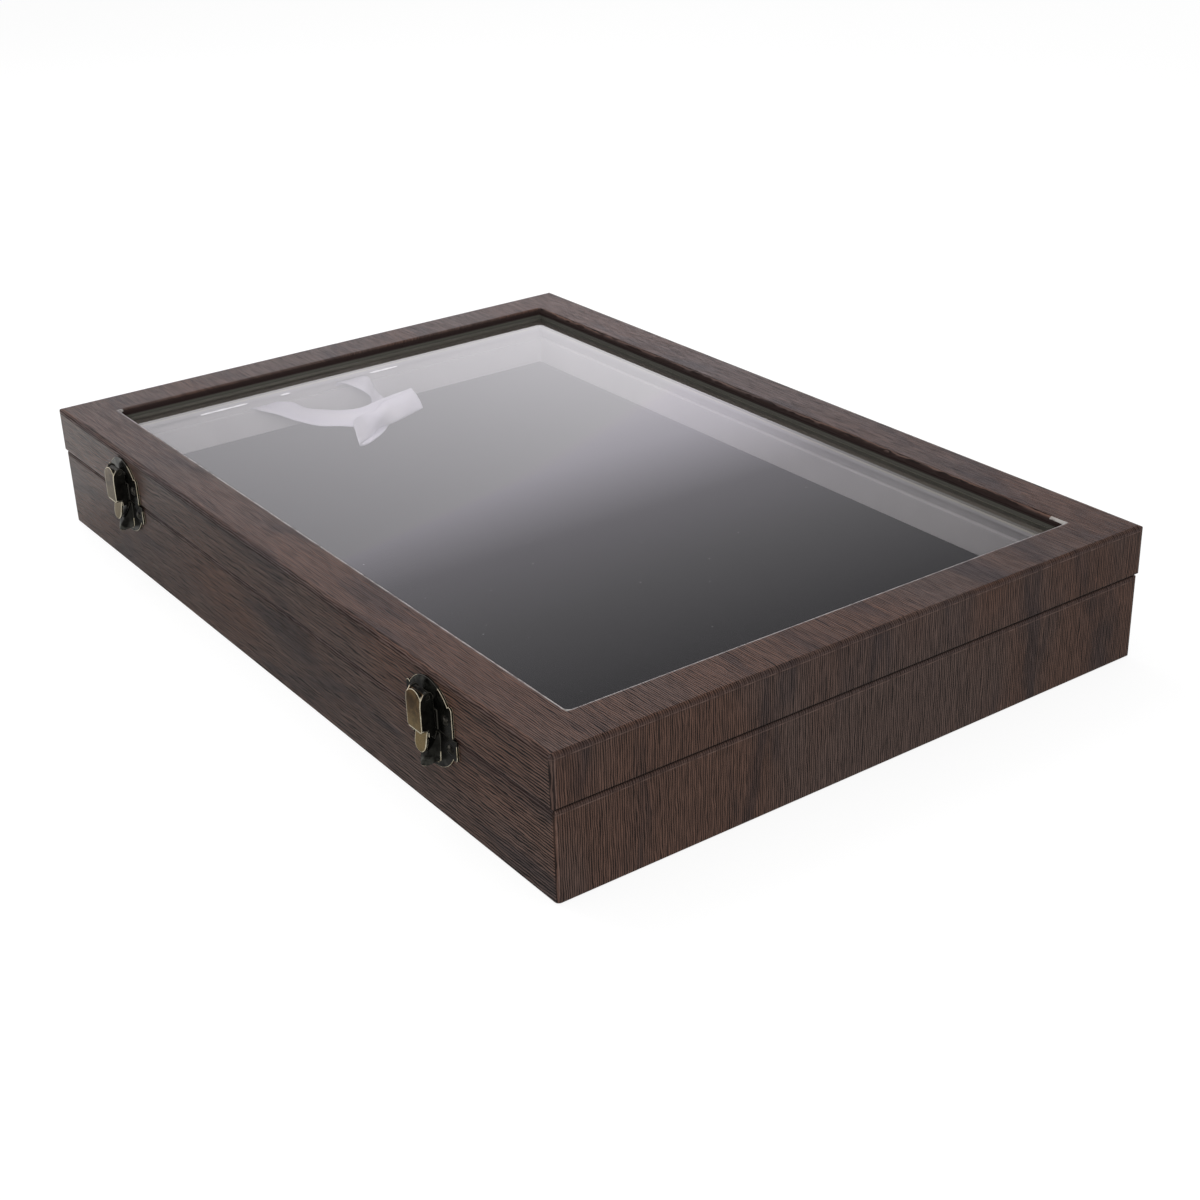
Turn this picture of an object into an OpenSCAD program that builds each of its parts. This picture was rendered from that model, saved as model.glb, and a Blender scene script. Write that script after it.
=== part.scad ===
// Glazed pin display case, lying closed on its back.
// Origin: centre of the bottom face. +X runs along the latch front, +Y to the hinges, +Z up.

/* [Case] */
// Width of the case along the latch front
case_w = 350; // [310:1:420]
// Depth of the case from latches to hinges
case_d = 240; // [200:1:300]
// Height of the base from the table to its rim
base_h = 31; // [30:0.5:34]
// Height of the lid from the base's rim to its top
lid_h = 18; // [17:0.5:24]
// Width of the frame round the window
frame_w = 19; // [17.5:0.5:24]
// Step from the lid's sides in to the base's sides
base_inset = 0.5; // [0.3:0.1:0.8]
// Gap between the base and the closed lid
seam_gap = 0.3; // [0.1:0.05:0.4]
// Radius of the lid's and the base's upper edges
edge_r = 1.6; // [1:0.1:2.4]
// Radius of the lid's lower edge
hem_r = 0.9; // [0.9:0.1:2]
// Radius of the upright corners
corner_r = 1.4; // [1:0.1:2.4]

/* [Skin] */
// Thickness of the leatherette skin
wrap_t = 0.5; // [0.3:0.1:0.8]
// Thickness of the felt sheet under the base
sheet_t = 0.5; // [0.4:0.1:1]
// Bare margin round the felt sheet
sheet_margin = 5; // [3:0.5:12]

/* [Base] */
// Thickness of the floor board
floor_t = 3; // [2:0.5:4]
// Thickness of the grey lining boards
liner_t = 2; // [1.5:0.25:3]
// Height of the lining above the base's rim
neck_h = 4; // [3:0.5:4.5]
// Gap between the lining's neck and the lid
neck_gap = 0.8; // [0.7:0.1:1]

/* [Pad] */
// Thickness of the card under the foam
pad_board_t = 1.5; // [1:0.25:2.5]
// Thickness of the foam
foam_t = 19; // [15:0.5:19.5]
// Thickness of the velvet cover
cover_t = 0.5; // [0.4:0.1:0.8]
// Gap between the pad and the lining
pad_gap = 0.3; // [0.2:0.05:0.5]
// Radius of the pad's top edges
pad_r = 1.8; // [1:0.1:3]

/* [Window] */
// Depth of the frame above the glass
lip_t = 4; // [3:0.25:5]
// Thickness of the glass
glass_t = 2; // [1.5:0.5:3]
// Gap between the glass and its rebate
glass_gap = 0.4; // [0.3:0.1:0.6]
// Height of the strips that hold the glass
retainer_h = 4; // [3:0.5:4]

/* [Ribbon] */
// Width of the ribbon that stays the lid
ribbon_w = 12; // [9:0.5:13]
// Thickness of the ribbon
ribbon_t = 0.3; // [0.2:0.05:0.35]

/* [Hinges] */
// Distance of each hinge from the case's end
hinge_inset = 63; // [50:1:90]
// Length of a hinge along its pin
hinge_w = 24; // [20:1:36]
// Reach of a hinge leaf from the pin
leaf_h = 13; // [11:0.5:14]
// Thickness of a hinge leaf
leaf_t = 0.8; // [0.6:0.1:1]
// Radius of the hinge knuckles
barrel_r = 1.6; // [1.5:0.1:2]
// Radius of the hinge pin
hinge_pin_r = 0.8; // [0.6:0.05:0.9]
// Gap between neighbouring knuckles
knuckle_gap = 0.2; // [0.1:0.05:0.4]
// Spacing of the nails in a hinge leaf
hinge_nail_span = 16; // [12:0.5:17]

/* [Latches] */
// Distance of each latch from the case's end
latch_inset = 63; // [40:1:90]
// Thickness of the latch plates
plate_t = 0.8; // [0.6:0.1:1]
// Width of the lid's latch plate
lid_plate_w = 25.4; // [23:0.2:28]
// Width of the base's latch plate
base_plate_w = 27.2; // [25:0.2:30]
// Width of the latch lever
lever_w = 8.3; // [7.7:0.1:8.9]
// Reach of the lever's front from the lid
lever_reach = 6.1; // [5.9:0.1:7]
// Thickness of the lever's sheet
lever_t = 0.8; // [0.6:0.1:0.9]
// Height of the lever's pin above the seam
lever_pin_h = 11.7; // [11.4:0.1:12.2]
// Distance of the lever's pin from the lid
lever_pin_out = 3.3; // [3.1:0.1:3.5]
// Radius of the lever's pin
lever_pin_r = 0.6; // [0.5:0.05:0.7]
// Radius of the rolled knuckle on the lid's plate
curl_r = 1.4; // [1.2:0.05:1.5]
// Reach of the base plate's beak from the lid's front
beak_reach = 4.8; // [4:0.1:5]

/* [Nails] */
// Radius of a nail's shank
nail_r = 0.6; // [0.5:0.05:0.8]
// Length of a nail's shank
nail_len = 8; // [6:0.5:10]
// Radius of a hinge nail's head
hinge_head_r = 1.5; // [1.2:0.1:1.8]
// Radius of a latch nail's head
latch_head_r = 1.8; // [1.4:0.1:2]
// Height of a nail's domed head
head_h = 0.8; // [0.5:0.1:1.2]

/* [Fits] */
// Radial clearance of a pin that turns
running_gap = 0.05; // [0.03:0.01:0.08]
// Radial clearance round a nail
nail_gap = 0.05; // [0.02:0.01:0.1]

/* [Hidden] */

$fn = 48;

// How far a cutting shape runs past the face that it cuts
past = 1;
// Sides of the rectangular frames, in the order in which they turn
front = 0;
right = 1;
back = 2;
left = 3;

// Heights above the table
case_h = base_h + lid_h;
lid_bottom = base_h + seam_gap;
floor_bottom = sheet_t + wrap_t;
floor_top = floor_bottom + floor_t;
pad_top = floor_top + pad_board_t + foam_t + cover_t;
neck_top = base_h + neck_h;
glass_top = case_h - lip_t;
glass_bottom = glass_top - glass_t;
retainer_bottom = glass_bottom - retainer_h;

// Radius of the frame's edge round the window, and of the window's corners seen from above
lip_r = 2;
window_r = 1.2;

// Distances in from the lid's outer face
liner_outer = frame_w - liner_t;
lid_inner = liner_outer - neck_gap;
window_x = case_w / 2 - frame_w;
window_y = case_d / 2 - frame_w;

// Hinge line, with the knuckles lying against the lid's back
hinge_x = case_w / 2 - hinge_inset;
hinge_y = case_d / 2 + barrel_r;
knuckle_w = (hinge_w - 2 * knuckle_gap) / 3;
knuckle_clear = 0.3;
hinge_nail_h = (leaf_h + barrel_r + knuckle_clear) / 2;

// Latch plates, measured from the seam and the latch's centre line
latch_x = case_w / 2 - latch_inset;
plate_gap = 0.5;
lid_shoulder = 9.5;
lid_ear_r = 1.2;
lid_dome_r = 12.6;
lid_dome_top = 16;
base_shoulder = 6;
base_ear_r = 1.3;
base_lobe_r = 13.3;
base_lobe_drop = 13.5;
band_w = 9.4;
band_rise = 0.3;
band_top = 7;
lid_nail_x = 9;
lid_nail_h = 5.4;
base_nail_x = 10;
base_nail_h = 4.2;

// Lever, with its distances out from the lid's front and up from the seam
lever_bottom = 0.1;
lever_bend = 9.4;
lever_top = 13.4;
lever_lean = 0.5;
lever_arch_r = 5;
lever_shoulder = 11.2;
lever_back = plate_t + 0.4;
lever_chamfer = 0.8;
eye_wall = 1.15;
eye_r = lever_pin_r + eye_wall;
eye_slope = 50;
tongue_top_out = 3;
tongue_tip_out = 4.3;
tongue_drop = 7.5;
tongue_step = 0.9;
tongue_w = lever_w - 2 * tongue_step;
tongue_end_r = 3;
flange_drop = 1.5;
flange_rake = 0.4;
cheek_clear = 0.15;
inner_w = lever_w - 2 * lever_t - 2 * cheek_clear;

// Beak pressed out of the base's latch plate
beak_w = 9.2;
beak_top = 0.9;
beak_crest = 0.2;
beak_foot_drop = 10;
beak_nose_drop = 12.5;
beak_nose_h = 1.5;
beak_nose_r = 1.5;
catch_r = 1.1;
catch_h = 2;

// Ribbon route. Each stop is its centre and the direction of its width. X counts from the
// lining's left inner face, and Z from the neck's top, the pad's top or the strips' bottom.
ribbon_steps = 6;
glue_gap = 0.05;
neck_face = -liner_t - glue_gap - ribbon_t / 2;
neck_turn = 1.1;
rail_face = glue_gap + ribbon_t / 2 - liner_t - neck_gap;
ribbon_at_neck = [
    [[neck_face, -38.5, -3.4], [0, 1, 0]],
    [[neck_face, -38.5, -0.1], [0, 1, 0]],
    [[neck_face + neck_turn, -38.2, 0.7], [-0.05, 1, 0]],
    [[1.5, -36.4, 0.5], [-0.2, 0.95, 0.04]]
];
ribbon_on_pad = [
    [[4, -31.8, 9.2], [-0.4, 0.88, 0.1]],
    [[6.6, -26, 5.9], [-0.66, 0.74, 0.12]],
    [[10.8, -19, 3.8], [-0.76, 0.6, 0.24]],
    [[15.4, -11.4, 3.1], [-0.76, 0.6, 0.24]],
    [[20, -4.5, 3.2], [-0.8, 0.45, 0.36]],
    [[21.6, 4, 4], [-0.84, 0.2, 0.5]],
    [[20.2, 13.5, 4.3], [-0.84, 0.05, 0.54]],
    [[18.6, 22.4, 4.4], [-0.85, 0.05, 0.52]],
    [[19.4, 23, 5.2], [-0.85, 0.05, 0.52]],
    [[22.8, 13, 4.9], [-0.84, 0.05, 0.54]],
    [[26.6, 3, 4.9], [-0.84, 0.05, 0.54]],
    [[32.4, -7.2, 5], [-0.8, 0.12, 0.6]],
    [[37.9, -16.2, 5.1], [-0.75, 0.18, 0.62]],
    [[38.3, -16.4, 3.9], [-0.76, 0.18, 0.56]],
    [[34.4, -11, 1.5], [-0.88, -0.28, 0.14]],
    [[28.6, -4.2, 0.5], [-0.8, -0.6, 0]],
    [[19, 3.4, 0.4], [-0.55, -0.83, 0]],
    [[11.6, 8.4, 0.7], [-0.1, -1, 0]],
    [[6.6, 10.6, 2.4], [0.5, -0.85, 0]],
    [[5.4, 9.8, 6.2], [0.8, -0.6, 0]],
    [[4.6, 8.2, 9.4], [0.72, -0.7, 0]]
];
ribbon_at_lid = [
    [[2.4, 5.6, -2], [0.4, -0.9, 0]],
    [[-1.1, 3, -1.3], [0.05, -1, 0]],
    [[rail_face, 2.2, -3.2], [0, -1, 0]]
];

// One mitred side of a frame. Its child is the section, with X inward from the lid's outer
// face and Y up.
module frame_side(side) {
    along = side % 2 == 0 ? case_w : case_d;
    across = side % 2 == 0 ? case_d : case_w;
    reach = frame_w + past;
    rotate([0, 0, 90 * side])
        intersection() {
            translate([-along / 2, -across / 2, 0])
                rotate([90, 0, 90])
                    linear_extrude(along)
                        children();
            translate([0, 0, -past])
                linear_extrude(case_h + 2 * past)
                    polygon([[-along / 2, -across / 2], [along / 2, -across / 2],
                        [along / 2 - reach, reach - across / 2], [reach - along / 2, reach - across / 2]]);
        }
}

module whole_frame() {
    for (side = [front, right, back, left])
        frame_side(side)
            children();
}

module rounded_square(w, d, r) {
    square([w - 2 * r, d], center = true);
    square([w, d - 2 * r], center = true);
    for (x = [-1, 1], y = [-1, 1])
        translate([x * (w / 2 - r), y * (d / 2 - r)])
            circle(r);
}

// Upright block of the case's plan, set in by the inset
module plan_block(inset, r, low, high) {
    translate([0, 0, low])
        linear_extrude(high - low)
            rounded_square(case_w - 2 * inset, case_d - 2 * inset, r);
}

// Waste outside a rounded corner at the origin, in the quarter of +X and +Y
module corner_waste(r) {
    difference() {
        translate([-past, -past])
            square(r + past);
        translate([r, r])
            circle(r);
    }
}

// Section of the lid's frame, set in from its covered faces
module lid_section(inset) {
    difference() {
        union() {
            translate([inset, lid_bottom + inset])
                square([lid_inner - inset, case_h - lid_bottom - 2 * inset]);
            translate([lid_inner - past, glass_top])
                square([frame_w - inset - lid_inner + past, lip_t - inset]);
        }
        translate([inset, lid_bottom + inset])
            corner_waste(hem_r - inset);
        translate([inset, case_h - inset])
            mirror([0, 1])
                corner_waste(edge_r - inset);
        translate([frame_w - inset, case_h - inset])
            rotate(180)
                corner_waste(lip_r - inset);
    }
}

// Skin gathered in the window's corners, which rounds them
module window_corners() {
    for (x = [-1, 1], y = [-1, 1])
        intersection() {
            translate([x * (window_x - window_r), y * (window_y - window_r), glass_top])
                rotate_extrude()
                    difference() {
                        translate([window_r, 0])
                            square([window_r + lip_r, lip_t]);
                        translate([window_r, lip_t])
                            mirror([0, 1])
                                corner_waste(lip_r);
                    }
            translate([x * (window_x + (lip_r - window_r) / 2), y * (window_y + (lip_r - window_r) / 2),
                glass_top + lip_t / 2])
                cube([window_r + lip_r, window_r + lip_r, lip_t], center = true);
        }
}

// Section of the base's frame, set in from its covered faces
module base_section(inset, low) {
    difference() {
        translate([base_inset + inset, low])
            square([liner_outer - base_inset - inset, base_h - inset - low]);
        translate([base_inset + inset, base_h - inset])
            mirror([0, 1])
                corner_waste(edge_r - inset);
    }
}

// Sheet and boards of the base
module bottom_sheet() {
    color([0.10, 0.09, 0.09])
        plan_block(base_inset + sheet_margin, corner_r, 0, sheet_t);
}

module base_wrap() {
    color([0.28, 0.22, 0.20])
        difference() {
            union() {
                intersection() {
                    whole_frame()
                        base_section(0, sheet_t);
                    plan_block(base_inset, corner_r, 0, case_h);
                }
                plan_block(base_inset, corner_r, sheet_t, floor_bottom);
            }
            plan_block(base_inset + wrap_t, corner_r - wrap_t, floor_bottom, floor_top);
            intersection() {
                whole_frame()
                    base_section(wrap_t, floor_bottom + wrap_t);
                plan_block(base_inset + wrap_t, corner_r - wrap_t, 0, case_h);
            }
            base_nail_holes();
        }
}

module floor_board() {
    color([0.62, 0.52, 0.38])
        plan_block(base_inset + wrap_t, corner_r - wrap_t, floor_bottom, floor_top);
}

module base_rail(side) {
    color([0.62, 0.52, 0.38])
        difference() {
            intersection() {
                frame_side(side)
                    base_section(wrap_t, floor_top);
                plan_block(base_inset + wrap_t, corner_r - wrap_t, 0, case_h);
            }
            base_nail_holes();
        }
}

module liner(side) {
    color([0.80, 0.79, 0.80])
        frame_side(side)
            translate([liner_outer, floor_top])
                square([liner_t, neck_top - floor_top]);
}

// Block with its top edges rounded, standing on the floor board inside the lining
module pad_block(inset, r, high) {
    w = 2 * (window_x - pad_gap - inset);
    d = 2 * (window_y - pad_gap - inset);
    intersection() {
        pad_bar(w, d, r, high);
        rotate([0, 0, 90])
            pad_bar(d, w, r, high);
    }
}

// Bar along Y, as wide as w along X, with its two long top edges rounded
module pad_bar(w, d, r, high) {
    translate([0, d / 2, floor_top])
        rotate([90, 0, 0])
            linear_extrude(d)
                difference() {
                    translate([-w / 2, 0])
                        square([w, high - floor_top]);
                    for (turn = [0, 1])
                        mirror([turn, 0])
                            translate([w / 2, high - floor_top])
                                rotate(180)
                                    corner_waste(r);
                }
}

module pad_board() {
    color([0.72, 0.66, 0.55])
        translate([0, 0, floor_top])
            linear_extrude(pad_board_t)
                square([2 * (window_x - pad_gap - cover_t), 2 * (window_y - pad_gap - cover_t)], center = true);
}

module pad_foam() {
    color([0.85, 0.85, 0.80])
        intersection() {
            pad_block(cover_t, pad_r - cover_t, pad_top - cover_t);
            plan_block(0, corner_r, floor_top + pad_board_t, pad_top);
        }
}

module pad_cover() {
    color([0.07, 0.07, 0.08])
        difference() {
            pad_block(0, pad_r, pad_top);
            pad_block(cover_t, pad_r - cover_t, pad_top - cover_t);
        }
}

// Lid
module lid_wrap() {
    color([0.28, 0.22, 0.20])
        difference() {
            union() {
                intersection() {
                    whole_frame()
                        lid_section(0);
                    plan_block(0, corner_r, 0, case_h);
                }
                window_corners();
            }
            intersection() {
                whole_frame()
                    lid_section(wrap_t);
                plan_block(wrap_t, corner_r - wrap_t, 0, case_h);
            }
            lid_nail_holes();
        }
}

module lid_rail(side) {
    color([0.62, 0.52, 0.38])
        difference() {
            intersection() {
                frame_side(side)
                    lid_section(wrap_t);
                plan_block(wrap_t, corner_r - wrap_t, 0, case_h);
            }
            lid_nail_holes();
        }
}

module glass_pane() {
    color([0.80, 0.88, 0.88, 0.35])
        translate([0, 0, glass_bottom])
            linear_extrude(glass_t)
                square([case_w - 2 * (lid_inner + glass_gap), case_d - 2 * (lid_inner + glass_gap)], center = true);
}

module retainer(side) {
    color([0.80, 0.79, 0.80])
        frame_side(side)
            translate([lid_inner, retainer_bottom])
                square([frame_w - lid_inner, retainer_h]);
}

// Ribbon between the neck and the lid
function unit(v) = v / norm(v);

function spline(a, b, c, d, t) =
    0.5 * (2 * b + (c - a) * t + (2 * a - 5 * b + 4 * c - d) * t * t + (3 * b - a - 3 * c + d) * t * t * t);

function stop_at(stops, i) = stops[max(0, min(len(stops) - 1, i))];

function route(stops, part) = [
    for (i = [0:len(stops) - 2])
        for (k = [0:ribbon_steps - 1])
            spline(stop_at(stops, i - 1)[part], stops[i][part], stops[i + 1][part],
                stop_at(stops, i + 2)[part], k / ribbon_steps),
    stops[len(stops) - 1][part]
];

module stay_ribbon() {
    stops = [
        for (s = ribbon_at_neck) [s[0] + [-window_x, 0, neck_top], s[1]],
        for (s = ribbon_on_pad) [s[0] + [-window_x, 0, pad_top], s[1]],
        for (s = ribbon_at_lid) [s[0] + [-window_x, 0, retainer_bottom], s[1]]
    ];
    middle = route(stops, 0);
    width = route(stops, 1);
    last = len(middle) - 1;
    ring = [
        for (i = [0:last])
            let (along = middle[min(last, i + 1)] - middle[max(0, i - 1)],
                side = unit(width[i]) * ribbon_w / 2,
                face = unit(cross(along, side)) * ribbon_t / 2)
            [middle[i] - side - face, middle[i] + side - face, middle[i] + side + face, middle[i] - side + face]
    ];
    points = [for (r = ring) each r];
    faces = [
        [0, 1, 2, 3],
        for (i = [0:last - 1])
            for (k = [0:3])
                each [[4 * i + k, 4 * i + 4 + k, 4 * i + 4 + (k + 1) % 4],
                    [4 * i + k, 4 * i + 4 + (k + 1) % 4, 4 * i + (k + 1) % 4]],
        [4 * last + 3, 4 * last + 2, 4 * last + 1, 4 * last]
    ];
    color([0.90, 0.89, 0.94])
        polyhedron(points, faces);
}

// Nail with its head's seat at the origin, its head up and its shank down
module nail(head_r) {
    dome_r = (head_r * head_r + head_h * head_h) / (2 * head_h);
    tip = 2 * nail_r;
    rotate_extrude() {
        intersection() {
            translate([0, head_h - dome_r])
                circle(dome_r);
            square([head_r, head_h]);
        }
        translate([0, tip - nail_len])
            square([nail_r, nail_len - tip]);
        polygon([[0, -nail_len], [nail_r, tip - nail_len], [0, tip - nail_len]]);
    }
}

module nail_hole() {
    translate([0, 0, -nail_len - nail_gap])
        cylinder(r = nail_r + nail_gap, h = nail_len + nail_gap + past);
}

// Children at both nails of each hinge leaf, their Z pointing out of the back
module at_hinge_nails(upper) {
    drop = upper ? hinge_nail_h : -hinge_nail_h;
    face = case_d / 2 + leaf_t - (upper ? 0 : base_inset);
    for (side = [-1, 1], spot = [-1, 1])
        translate([side * hinge_x + spot * hinge_nail_span / 2, face, base_h + drop])
            rotate([-90, 0, 0])
                children();
}

// Children at both nails of each latch plate, their Z pointing out of the front
module at_latch_nails(upper) {
    out = upper ? lid_nail_x : base_nail_x;
    up = upper ? lid_nail_h : -base_nail_h;
    face = case_d / 2 + plate_t - (upper ? 0 : base_inset);
    for (side = [-1, 1], spot = [-1, 1])
        translate([side * latch_x + spot * out, -face, base_h + up])
            rotate([90, 0, 0])
                children();
}

module base_nail_holes() {
    at_hinge_nails(false)
        nail_hole();
    at_latch_nails(false)
        nail_hole();
}

module lid_nail_holes() {
    at_hinge_nails(true)
        nail_hole();
    at_latch_nails(true)
        nail_hole();
}

module base_hinge_nails() {
    color([0.45, 0.36, 0.22])
        at_hinge_nails(false)
            nail(hinge_head_r);
}

module lid_hinge_nails() {
    color([0.45, 0.36, 0.22])
        at_hinge_nails(true)
            nail(hinge_head_r);
}

module base_latch_nails() {
    color([0.45, 0.36, 0.22])
        at_latch_nails(false)
            nail(latch_head_r);
}

module lid_latch_nails() {
    color([0.45, 0.36, 0.22])
        at_latch_nails(true)
            nail(latch_head_r);
}

// Knuckle along X, round the hinge line, centred at x
module knuckle(x) {
    translate([x - knuckle_w / 2, 0, 0])
        rotate([0, 90, 0])
            cylinder(r = barrel_r, h = knuckle_w);
}

module pin_bore() {
    translate([-hinge_w / 2 - past, 0, 0])
        rotate([0, 90, 0])
            cylinder(r = hinge_pin_r + running_gap, h = hinge_w + 2 * past);
}

// Leaf against the face at y, with its knuckles at the places listed. It reaches up from the
// hinge line.
module leaf(y, places) {
    difference() {
        union() {
            translate([-hinge_w / 2, y, barrel_r + knuckle_clear])
                cube([hinge_w, leaf_t, leaf_h - barrel_r - knuckle_clear]);
            for (x = places) {
                translate([x - knuckle_w / 2, y, 0])
                    cube([knuckle_w, leaf_t, barrel_r + knuckle_clear]);
                knuckle(x);
            }
        }
        pin_bore();
        for (spot = [-1, 1])
            translate([spot * hinge_nail_span / 2, y - past, hinge_nail_h])
                rotate([-90, 0, 0])
                    cylinder(r = nail_r + nail_gap, h = leaf_t + 2 * past);
    }
}

module at_hinge(side) {
    translate([side * hinge_x, hinge_y, base_h])
        children();
}

module hinge_base_leaf(side) {
    step = knuckle_w + knuckle_gap;
    color([0.42, 0.33, 0.20])
        at_hinge(side)
            mirror([0, 0, 1])
                leaf(-barrel_r - base_inset, [-step, step]);
}

module hinge_lid_leaf(side) {
    color([0.42, 0.33, 0.20])
        at_hinge(side)
            leaf(-barrel_r, [0]);
}

module hinge_pin(side) {
    color([0.50, 0.42, 0.28])
        at_hinge(side)
            translate([-hinge_w / 2, 0, 0])
                rotate([0, 90, 0])
                    cylinder(r = hinge_pin_r, h = hinge_w);
}

// Latch parts stand in a frame at the seam on the lid's front, with Y out and Z up
module at_latch(side) {
    translate([side * latch_x, -case_d / 2, base_h])
        mirror([0, 1, 0])
            children();
}

// Extrudes a front outline, drawn in X and Z, from low to high in Y
module pressed(low, high) {
    translate([0, high, 0])
        rotate([90, 0, 0])
            linear_extrude(high - low)
                children();
}

// Extrudes a side outline, drawn in Y and Z, to the width
module sideways(width) {
    translate([-width / 2, 0, 0])
        rotate([90, 0, 90])
            linear_extrude(width)
                children();
}

module lid_plate_outline() {
    half = lid_plate_w / 2;
    translate([-half, plate_gap])
        square([lid_plate_w, lid_shoulder - plate_gap]);
    for (side = [-1, 1])
        translate([side * (half - lid_ear_r), lid_shoulder])
            circle(lid_ear_r);
    intersection() {
        translate([0, lid_dome_top - lid_dome_r])
            circle(lid_dome_r);
        translate([-half, lid_shoulder - past])
            square([lid_plate_w, lid_dome_top]);
    }
}

module latch_lid_plate(side) {
    color([0.20, 0.18, 0.14])
        at_latch(side)
            difference() {
                union() {
                    pressed(0, plate_t)
                        lid_plate_outline();
                    translate([-band_w / 2, 0, plate_gap])
                        cube([band_w, plate_t + band_rise, band_top - plate_gap]);
                    translate([-inner_w / 2, 0, lever_pin_h - curl_r])
                        cube([inner_w, lever_pin_out, lever_t]);
                    translate([-inner_w / 2, lever_pin_out, lever_pin_h])
                        rotate([0, 90, 0])
                            cylinder(r = curl_r, h = inner_w);
                }
                lever_pin_shape(lever_pin_r, inner_w + 2 * past);
                for (spot = [-1, 1])
                    translate([spot * lid_nail_x, -past, lid_nail_h])
                        rotate([-90, 0, 0])
                            cylinder(r = nail_r + nail_gap, h = plate_t + 2 * past);
            }
}

module lever_pin_shape(r, width) {
    translate([-width / 2, lever_pin_out, lever_pin_h])
        rotate([0, 90, 0])
            cylinder(r = r, h = width);
}

module latch_pin(side) {
    color([0.50, 0.42, 0.28])
        at_latch(side)
            lever_pin_shape(lever_pin_r, lever_w);
}

module base_plate_outline() {
    half = base_plate_w / 2;
    translate([-half, -base_shoulder])
        square([base_plate_w, base_shoulder - plate_gap / 2]);
    for (side = [-1, 1])
        translate([side * (half - base_ear_r), -base_shoulder])
            circle(base_ear_r);
    intersection() {
        translate([0, base_lobe_r - base_lobe_drop])
            circle(base_lobe_r);
        translate([-half, -base_lobe_drop])
            square([base_plate_w, base_lobe_drop - base_shoulder + past]);
    }
}

// Beak's body, thinner by the shrink on every side
module beak_body(shrink) {
    foot_back = -base_inset - past;
    hull() {
        translate([shrink - beak_w / 2, foot_back, -beak_top - past / 2])
            cube([beak_w - 2 * shrink, plate_t + past + beak_crest - shrink, past / 2]);
        translate([shrink - beak_w / 2, foot_back, -beak_foot_drop])
            cube([beak_w - 2 * shrink, past, past / 2]);
        translate([0, beak_reach - beak_nose_r, -beak_nose_drop])
            cylinder(r = beak_nose_r - shrink, h = beak_nose_h, $fn = 24);
    }
}

module latch_base_plate(side) {
    color([0.20, 0.18, 0.14])
        at_latch(side)
            difference() {
                union() {
                    difference() {
                        union() {
                            pressed(-base_inset, plate_t - base_inset)
                                base_plate_outline();
                            beak_body(0);
                        }
                        translate([0, 0, -lever_t])
                            beak_body(lever_t);
                    }
                    translate([-inner_w / 2, catch_r, -catch_h])
                        rotate([0, 90, 0])
                            cylinder(r = catch_r, h = inner_w);
                }
                translate([-base_plate_w, -base_inset - 3 * past, -2 * base_lobe_drop])
                    cube([2 * base_plate_w, 3 * past, 3 * base_lobe_drop]);
                for (spot = [-1, 1])
                    translate([spot * base_nail_x, -base_inset - past, -base_nail_h])
                        rotate([-90, 0, 0])
                            cylinder(r = nail_r + nail_gap, h = plate_t + 2 * past);
            }
}

// Side outline of the lever's two cheeks, with the eye for the pin
module cheek_outline() {
    shoulder_out = lever_reach - lever_lean * (lever_shoulder - lever_bend) / (lever_top - lever_bend);
    polygon([[lever_back, lever_bottom], [lever_reach, lever_bottom], [lever_reach, lever_bend],
        [shoulder_out, lever_shoulder],
        [lever_pin_out + eye_r * cos(eye_slope), lever_pin_h + eye_r * sin(eye_slope)],
        [lever_pin_out, lever_pin_h], [lever_pin_out - eye_r, lever_pin_h]]);
    translate([lever_pin_out, lever_pin_h])
        circle(eye_r);
}

// Side outline of the part of each cheek that reaches down over the catch
module flange_outline() {
    polygon([[lever_back, lever_bottom + lever_t], [lever_back + flange_rake, -flange_drop],
        [tongue_top_out + lever_t, -flange_drop], [tongue_top_out + lever_t, lever_bottom + lever_t]]);
}

// Side outline of the lever's front strip
module strip_outline() {
    polygon([[lever_reach, lever_bottom], [lever_reach, lever_bend], [lever_reach - lever_lean, lever_top],
        [lever_reach - lever_lean - lever_t, lever_top], [lever_reach - lever_t, lever_bend],
        [lever_reach - lever_t, lever_bottom]]);
}

// Side outline of the finger tongue and the step that carries it
module tongue_outline() {
    polygon([[tongue_top_out, lever_bottom + lever_t], [tongue_tip_out, -tongue_drop],
        [tongue_tip_out + lever_t, -tongue_drop], [tongue_top_out + lever_t, lever_bottom],
        [lever_reach, lever_bottom], [lever_reach, lever_bottom + lever_t]]);
}

// Front outline that rounds the strip's top
module arch_outline() {
    intersection() {
        translate([0, lever_top - lever_arch_r])
            circle(lever_arch_r, $fn = 96);
        translate([-lever_w / 2, lever_top - lever_arch_r])
            square([lever_w, lever_arch_r]);
    }
    translate([-lever_w / 2, 0])
        square([lever_w, lever_top - lever_arch_r + past / 2]);
}

// Front outline that trims the lever's lower corners and rounds the tongue
module lever_front() {
    half = lever_w / 2;
    polygon([[half - lever_chamfer, lever_bottom], [half, lever_bottom + lever_chamfer],
        [half, 2 * lever_pin_h], [-half, 2 * lever_pin_h], [-half, lever_bottom + lever_chamfer],
        [lever_chamfer - half, lever_bottom]]);
    translate([-tongue_w / 2, tongue_end_r - tongue_drop])
        square([tongue_w, tongue_drop - tongue_end_r + lever_bottom + past]);
    translate([-tongue_w / 2 + tongue_end_r, -tongue_drop])
        square([tongue_w - 2 * tongue_end_r, tongue_drop]);
    for (side = [-1, 1])
        translate([side * (tongue_w / 2 - tongue_end_r), tongue_end_r - tongue_drop])
            circle(tongue_end_r);
}

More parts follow.
